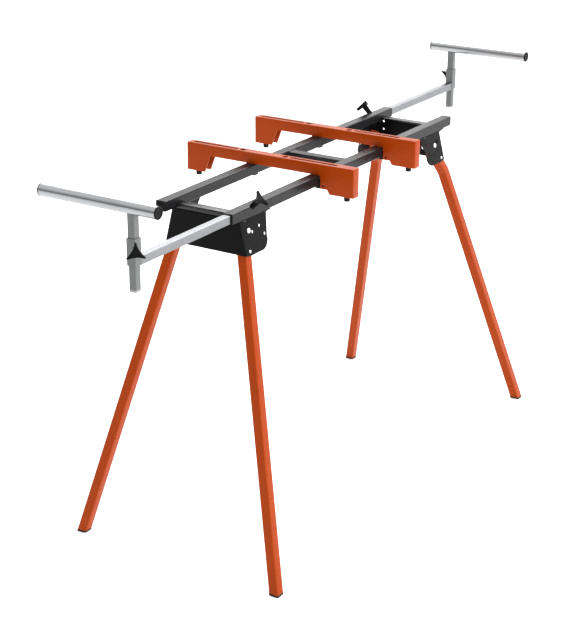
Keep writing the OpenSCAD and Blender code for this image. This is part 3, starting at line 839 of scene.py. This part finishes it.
def fasteners():
    bolts, nuts, washers, screws = [], [], [], []
    for right in (False, True):
        for rear in (False, True):
            at = PIVOT[right]
            m = ear_frame(right, rear) @ T(at.x, 0, at.y) @ R(-90, "X")
            shaft = turned([(0, 0), (4, 0), (4, 36.9), (3.2, 37.9), (0, 37.9)], 32)
            bolts.append((shaft, m))
            bolts.append((turned([(0, 0), (6.5, 0), (6.5, 2.0), (6.1, 2.9), (5.2, 3.5), (0, 3.5)],
                48), m @ R(180, "X")))
            nuts.append((hex_solid(12.6, 7, 0.12), m @ T(0, 0, 29.9)))
            washers.append((turned_ring([(4.1, 2.5), (9, 2.5), (9, 3.9), (8.7, 4.2), (4.1, 4.2)],
                40), m))
            for x in (14, EAR_TOP - 14):
                sm = PLACED @ flip(right, rear) @ T(x - PLATE_X, -RAIL_Y - 7,
                    RAIL_LOW - SHEET) @ R(180, "X")
                screws.append((hex_solid(8, 4, 0.12, 4.5), sm))
    one = Matrix.Identity(4)
    finish_piece("pivot_bolts", bm_join(*bolts), one, "frame", "zinc", ZINC, "leg_pivot_bolts")
    finish_piece("pivot_nuts", bm_join(*nuts), one, "frame", "zinc", ZINC, "leg_pivot_nuts")
    finish_piece("washers", bm_join(*washers), one, "frame", "zinc", ZINC, "leg_washers")
    finish_piece("tab_bolts", bm_join(*screws), one, "frame", "zinc", DULL_ZINC, "bracket_bolts")


fasteners()


# ---------------------------------------------------------------- legs
one = Matrix.Identity(4)


def leg(right, rear):
    rings_out, rings_in = [], []
    w = LEG_W

    def stations():
        """(origin on the centre line, lean of the section) from the top down."""
        if not right:
            return [(Vector((0, 0, LEG_TOP)), 0), (Vector((0, 0, -LEFT_REACH - PAST_FLOOR)), 0)]
        r = BEND_R
        tangent = r * math.tan(rad(BEND / 2))
        out = [(Vector((0, 0, LEG_TOP)), 0)]
        centre = Vector((r, 0, tangent - BEND_AT))
        for i in range(13):
            a = BEND * i / 12
            out.append((centre + Vector((-math.cos(rad(a)) * r, 0, -math.sin(rad(a)) * r)), a))
        down = Vector((math.sin(rad(BEND)), 0, -math.cos(rad(BEND))))
        out.append((Vector((0, 0, -BEND_AT)) + down * (RIGHT_REACH + PAST_FLOOR), BEND))
        return out

    path = stations()
    for origin, a in path:
        m = Matrix.Translation(origin) @ R(-a, "Y")
        rings_out.append([m @ Vector((x, y, 0)) for x, y in round_rect(w, w, 2.6, 6)])
        g = w - 2 * LEG_WALL
        rings_in.append([m @ Vector((x, y, 0)) for x, y in round_rect(g, g, 1.2, 6)])
    bm = loft([*rings_out, *rings_in[::-1]], cap=False)
    cutters = []
    for r, y0, y1, z in ((PIN_HOLE_R, -20, 20, 0), (LOCK_HOLE_R, -20, 0, -LOCK_R)):
        c = rod(r, y0, y1)
        c.transform(T(0, 0, z) @ R(-90, "X"))
        cutters.append(c)
    if right:
        to_foot = leg_frame(right, rear).inverted() @ foot_frame(right, rear)
        for up in SIDE_HOLES_UP:
            c = rod(FOOT_HOLE_R, -30, 30, 24)
            c.transform(to_foot @ T(0, 0, up) @ R(90, "Y"))
            cutters.append(c)
        c = rod(FOOT_HOLE_R, -30, 0, 24)
        c.transform(to_foot @ T(0, 0, FACE_HOLE_UP) @ R(-90, "X"))
        cutters.append(c)
    to_leg = leg_frame(right, rear).inverted()
    below = block(-1200, 1200, -600, 600, -90, FOOT_T)
    below.transform(to_leg)
    if to_leg.determinant() < 0:
        bmesh.ops.reverse_faces(below, faces=below.faces)
    cutters.append(below)
    bm = carve(bm, cutters)
    return bm_join((bm, leg_frame(right, rear)))


def level_cut(bm, z, up):
    """Cuts a closed mesh level at a height and keeps what lies above (up = 1) or below (up = -1)."""
    cut_at = bmesh.ops.bisect_plane(
        bm, geom=[*bm.verts, *bm.edges, *bm.faces], plane_co=(0, 0, z), plane_no=(0, 0, -up),
            clear_outer=True
    )
    rim = [e for e in cut_at["geom_cut"] if isinstance(e, bmesh.types.BMEdge)]
    bmesh.ops.holes_fill(bm, edges=rim, sides=0)
    bmesh.ops.recalc_face_normals(bm, faces=bm.faces)


def foot(right, rear):
    """Sole under the level end of the leg, and the plug that holds it inside the tube."""
    at = foot_frame(right, rear)
    sole = bm_join((prism(round_rect(LEG_W + 0.5, LEG_W + 0.5, 2.8, 6), 60, -30), at))
    level_cut(sole, FOOT_T - 0.02, -1)
    level_cut(sole, 0, 1)
    soften(sole, 0.7, 3, 40, lambda e: all(abs(v.co.z - e.verts[0].co.z) < 0.01 for v in e.verts))
    inside = LEG_W - 2 * LEG_WALL - 0.3
    plug = bm_join((prism(round_rect(inside, inside, 1.0, 4), 48, -30), at))
    level_cut(plug, FOOT_T - 2, 1)
    return bm_join((sole, one), (plug, one))


def lock_button(right, rear):
    m = ear_frame(right, rear) @ T(LOCK.x, 0, LOCK.y) @ R(-90, "X")
    prof = [(0, -2.5)] + [(3.9 * math.sin(rad(a)),
        -0.6 - 1.9 * math.cos(rad(a))) for a in range(10, 91, 10)]
    prof += [(4, -0.2), (4, 3.6), (3.7, 4.0), (0, 4.0)]
    return bm_join((turned(prof, 40), m))


for lr in ("left", "right"):
    for fb in ("front", "rear"):
        who = f"{lr}_{fb}"
        flags = (lr == "right", fb == "rear")
        finish_piece(who + "_leg_tube", leg(*flags), one, who + "_leg", "orange_paint", ORANGE,
            who + "_leg")
        finish_piece(who + "_foot_rubber", foot(*flags), one, who + "_leg", "black_rubber",
            RUBBER, who + "_foot")
        finish_piece(who + "_button", lock_button(*flags), one, who + "_lock_button", "zinc", ZINC,
                     who + "_lock_button")


# ---------------------------------------------------------------- arms and supports
def bar_cap():
    """Plug with a thin rim and a shallow dished face; the outer end is at z = 0."""
    return turned([
        (0, 1.4), (4.0, 1.2), (8.6, 0.9), (9.2, 0.3), (9.9, 0.0), (12.6, 0.0), (13.7, 0.35),
            (14.3, 1.1),
        (14.3, 2.5), (14.1, 3.0), (12.7, 3.0), (12.6, 14), (11.8, 15), (0, 15)], 64)


for side in ("left", "right"):
    place = side_frame(side)
    sx = sleeve_x(side)
    bar = place @ T(sx, -RAIL_Y - BAR_NEAR, BAR_Z) @ R(-90, "X")
    tube = turned_ring([
        (BAR_R - 0.3, 3.0), (BAR_R, 3.3), (BAR_R, BAR_LEN - 3.3), (BAR_R - 0.3, BAR_LEN - 3.0),
        (BAR_R - 1.2, BAR_LEN - 3.0), (BAR_R - 1.2, 3.0)], 96)
    finish_piece(side + "_bar_tube", bm_join((tube, bar)), one, side + "_support", "steel_tube",
        STEEL_Y,
                 side + "_support_bar")
    ends = bm_join((bar_cap(), bar), (bar_cap(), bar @ T(0, 0, BAR_LEN) @ R(180, "X")))
    finish_piece(side + "_bar_plugs", ends, one, side + "_support", "black_plastic",
        BLACK_PLASTIC, side + "_bar_caps")
    # welds: post to bar, sleeve to extension tube
    ring = []
    for p in along_rect(18.6, 18.6, 2.2, 44):
        ring.append((sx + p.x, -RAIL_Y + p.y, BAR_Z - math.sqrt(max(BAR_R**2 - p.x**2, 0)) - 0.2))
    finish_piece(side + "_post_weld", bm_join((bead(ring, 0.8, 1, closed=True), place)), one,
        side + "_support",
                 "steel_tube", STEEL_Z_SHADED)
    ring = [
        (sx + 11.7, -RAIL_Y + p.x, RAIL_MID + p.y)
        for p in along_rect(20.4, 20.4, 2.2, 48) if RAIL_MID + p.y > TOP - 19
    ]
    finish_piece(side + "_sleeve_weld", bm_join((bead(ring, 0.9, 2), place)), one, side + "_arm",
        "steel_tube", STEEL_Z_SHADED)
    plug = prism(round_rect(18, 18, 2.0, 6), 5.0, 0)
    soften(plug, 0.8, 3, 50, lambda e: all(v.co.z < 0.01 for v in e.verts))
    stem = prism(round_rect(15.2, 15.2, 1.0), 12, 4.5)
    finish_piece(side + "_plug", bm_join((bm_join((plug, one), (stem, one)), place @ T(sx,
        -RAIL_Y, TOP - 79))), one,
                 side + "_support", "grey_plastic", GREY_PLASTIC, side + "_post_plug")


# ---------------------------------------------------------------- clamp knobs
def star(a, grow):
    """Point of the head's outline: hollow sides cut by circles, and three blunt tips."""
    r = 23 + grow
    for k in (60, 180, 300):
        off = rad(a - k)
        room = (53.5 - grow) ** 2 - (63 * math.sin(off)) ** 2
        if room > 0 and math.cos(off) > 0:
            r = min(r, 63 * math.cos(off) - math.sqrt(room))
    return polar(a, r)


def knob_head(t, hub):
    """Three-lobed head with rolled edges and a dished, capped middle, on a fluted hub."""
    rings = []
    steps = 120
    for z, g in ((0.0, -3.2), (0.35, -1.5), (1.3, -0.45), (2.6, 0.0), (t - 2.6, 0.0), (t - 1.3,
        -0.45),
                 (t - 0.4, -1.5), (t, -3.0)):
        rings.append([(*star(360 * i / steps, g), hub + z) for i in range(steps)])
    for r, z in ((4.6, t), (4.4, t - 0.5), (3.9, t - 0.6), (3.7, t - 0.1), (2.4, t + 0.0)):
        rings.append([(*polar(360 * i / steps, r), hub + z) for i in range(steps)])
    head = loft(rings)
    flutes = []
    for z, r in ((0.0, 7.0), (0.5, 7.5), (hub * 0.5, 7.2), (hub + 0.5, 7.4)):
        flutes.append([
            (*polar(360 * i / 72, r + 0.22 * math.cos(rad(12 * 360 * i / 72))),
                z) for i in range(72)
        ])
    return bm_join((head, R(180, "Z")), (loft(flutes), one))


def stud(z0, z1, pitch=1.25):
    """Threaded stud: turned crests and roots."""
    prof = [(0, z0), (3.1, z0)]
    z = z0 + 0.7
    while z < z1 - 0.7:
        prof += [(4.0, z), (3.55, z + pitch / 2)]
        z += pitch
    prof += [(4.0, z1), (0, z1)]
    return turned(prof, 32)


for side in ("left", "right"):
    place = side_frame(side)
    turn = place @ T(-(RAIL_END - 82), -RAIL_Y - RAIL_W / 2, TOP) @ R(45, "X")
    head = bm_join((knob_head(9, 12), T(0, 0, 10)))
    finish_piece(side + "_rail_clamp_knob", bm_join((head, turn)), one, side + "_rail_knob",
        "black_plastic",
                 KNOB_PLASTIC, side + "_rail_knob")
    finish_piece(side + "_rail_clamp_stud", bm_join((stud(-4.6, 26), turn)), one,
        side + "_rail_knob", "zinc", ZINC,
                 side + "_rail_knob_stud")
    sx = sleeve_x(side)
    turn = place @ T(sx - 11.5, -RAIL_Y - 11.5, TOP + 15) @ R(-135, "Z") @ R(90, "Y")
    head = bm_join((knob_head(9, 3), T(0, 0, 6) @ R(60 if side == "right" else 0, "Z")))
    finish_piece(side + "_post_clamp_knob", bm_join((head, turn)), one, side + "_post_knob",
        "black_plastic",
                 KNOB_PLASTIC, side + "_post_knob")
    finish_piece(side + "_post_clamp_stud", bm_join((stud(-3.0, 13), turn)), one,
        side + "_post_knob", "zinc", ZINC,
                 side + "_post_knob_stud")


# ---------------------------------------------------------------- beams
def beam():
    outline = [
        (BEAM_Y0, BEAM_TOP), (BEAM_Y0, BEAM_LOW), (BEAM_Y0 + 67, BEAM_LOW), (-RAIL_OUT - 21,
            BEAM_LOW + 11),
        (-RAIL_OUT - 2, BEAM_LOW + 11), (-RAIL_OUT - 1, TOP), (BEAM_Y1 - 72, TOP), (BEAM_Y1 - 55,
            BEAM_LOW),
        (BEAM_Y1, BEAM_LOW), (BEAM_Y1, BEAM_TOP)]
    to_beam = Matrix(((0, 0, 1, 0), (1, 0, 0, 0), (0, 1, 0, 0), (0, 0, 0, 1)))
    outer = prism(outline, BEAM_W, -BEAM_W / 2)
    outer.transform(to_beam)
    bmesh.ops.recalc_face_normals(outer, faces=outer.faces)

    def folds(e):
        a, b = (v.co for v in e.verts)
        top = abs(a.z - BEAM_TOP) < 0.01 and abs(b.z - BEAM_TOP) < 0.01
        end = any(abs(a.y - y) < 0.01 and abs(b.y - y) < 0.01 for y in (BEAM_Y0, BEAM_Y1))
        low = abs(a.z - BEAM_LOW) < 0.01 and abs(b.z - BEAM_LOW) < 0.01
        return (top or end) and not low

    soften(outer, 2.6, 5, 20, folds)
    inner = block(-12, 12, BEAM_Y0 + BEAM_WALL, BEAM_Y1 - BEAM_WALL, BEAM_LOW - 30,
        BEAM_TOP - BEAM_WALL)
    soften(inner, 0.9, 3, 20, lambda e: max(v.co.z for v in e.verts) > BEAM_TOP - 5)
    cutters = [inner]
    run = SLOT_LEN - SLOT_W
    for y in (-80, 208):
        pts = [tuple(polar(a, SLOT_W / 2) + Vector((0, run / 2))) for a in range(0, 181, 12)]
        pts += [tuple(polar(a, SLOT_W / 2) - Vector((0, run / 2))) for a in range(180, 361, 12)]
        cutters.append(prism([(p[0], p[1] + y) for p in pts], 30, BEAM_TOP - 10))
    for y in (2, 126):
        hole = rod(8, BEAM_TOP - 10, BEAM_TOP + 20, 48)
        hole.transform(T(0, y, 0))
        cutters.append(hole)
    pin = rod(3.05, -30, 30, 32)
    pin.transform(T(0, *LATCH_AT) @ R(90, "Y"))
    cutters.append(pin)
    bm = carve(outer, cutters)
    return soften(bm, 0.4, 2, 48)


def bumper():
    return turned([
        (0, -13), (5.2, -13), (6.6, -12.6), (7.3, -11.6), (7.5, -10.2), (7.5, -1.4), (6.9, -0.9),
            (6.9, 0.2), (7.5, 0.8),
        (7.5, 11.2), (6.9, 12), (5, 12), (5, 70), (0, 70)], 48)


def rear_hook():
    y0, low = RAIL_OUT + 3.0, RAIL_LOW - 5.5
    roof = BEAM_TOP - BEAM_WALL - 1.5
    outline = bent_strip([(y0 + 22.5, roof), (y0, roof), (y0, low), (RAIL_IN + 8, low)], 3, 3.2)
    bm = prism(outline, 18, -9)
    bm.transform(Matrix(((0, 0, 1, 0), (1, 0, 0, 0), (0, 1, 0, 0), (0, 0, 0, 1))))
    bmesh.ops.recalc_face_normals(bm, faces=bm.faces)
    return soften(bm, 0.5, 2, 60)


LATCH = [(0, 7), (7, 0), (33, 0), (34, -5), (30, -9), (-4, -9), (-10, -4), (-44, -8), (-47, -2),
    (-12, 6)]


def rounded(points, r, steps=4):
    """Rounds a closed outline's corners, as far as each corner has room."""
    pts = [Vector(p) for p in points]
    n = len(pts)
    out = []
    for i, p in enumerate(pts):
        a, b = pts[i - 1] - p, pts[(i + 1) % n] - p
        half = a.angle(b) / 2
        reach = min(r / math.tan(half), a.length * 0.45, b.length * 0.45)
        rr = reach * math.tan(half)
        c = p + (a.normalized() + b.normalized()).normalized() * (rr / math.sin(half))
        s, e = p + a.normalized() * reach - c, p + b.normalized() * reach - c
        turn = math.atan2(s.x * e.y - s.y * e.x, s.dot(e))
        for k in range(steps + 1):
            out.append(tuple(c + Matrix.Rotation(turn * k / steps, 2) @ s))
    return out


def latch():
    to_yz = Matrix(((0, 0, 1, 0), (1, 0, 0, 0), (0, 1, 0, 0), (0, 0, 0, 1)))
    lever = prism(rounded(LATCH, 2.2), 20, -10)
    soften(lever, 0.9, 3, 50)
    hub = prism([tuple(polar(7.5 * i, 7)) for i in range(48)], 20, -10)
    soften(hub, 0.7, 2, 50)
    ribs = []
    for i in range(6):
        y = -18 - 4.4 * i
        z = -4 - 0.118 * (-10 - y) - 0.25
        rib = prism(rounded([(y - 0.9, z + 2), (y - 0.9, z - 0.6), (y + 0.9, z - 0.6), (y + 0.9,
            z + 2)], 0.5), 16, -8)
        ribs.append((rib, one))
    bm = bm_join((lever, one), (hub, one), *ribs)
    bm.transform(to_yz)
    bmesh.ops.recalc_face_normals(bm, faces=bm.faces)
    return bm


for side in ("left", "right"):
    at = T(BEAM_X[side] + SHIFT, 0, 0)
    body = side + "_beam"
    finish_piece(side + "_beam_channel", bm_join((beam(), at)), one, body, "orange_paint", ORANGE,
        side + "_beam")
    pads = bm_join(*[(bumper(), at @ T(0, y, BEAM_LOW)) for y in (BEAM_Y0 + 25, BEAM_Y1 - 27)])
    finish_piece(side + "_bumper_pads", pads, one, body, "black_rubber", RUBBER,
        side + "_beam_bumpers")
    finish_piece(side + "_hook_strip", bm_join((rear_hook(), at)), one, body, "black_paint", BLACK,
                 side + "_beam_rear_hook")
    finish_piece(side + "_latch_lever", bm_join((latch(), at @ T(0, *LATCH_AT))), one,
        side + "_latch",
                 "black_plastic", BLACK_PLASTIC, side + "_beam_latch")
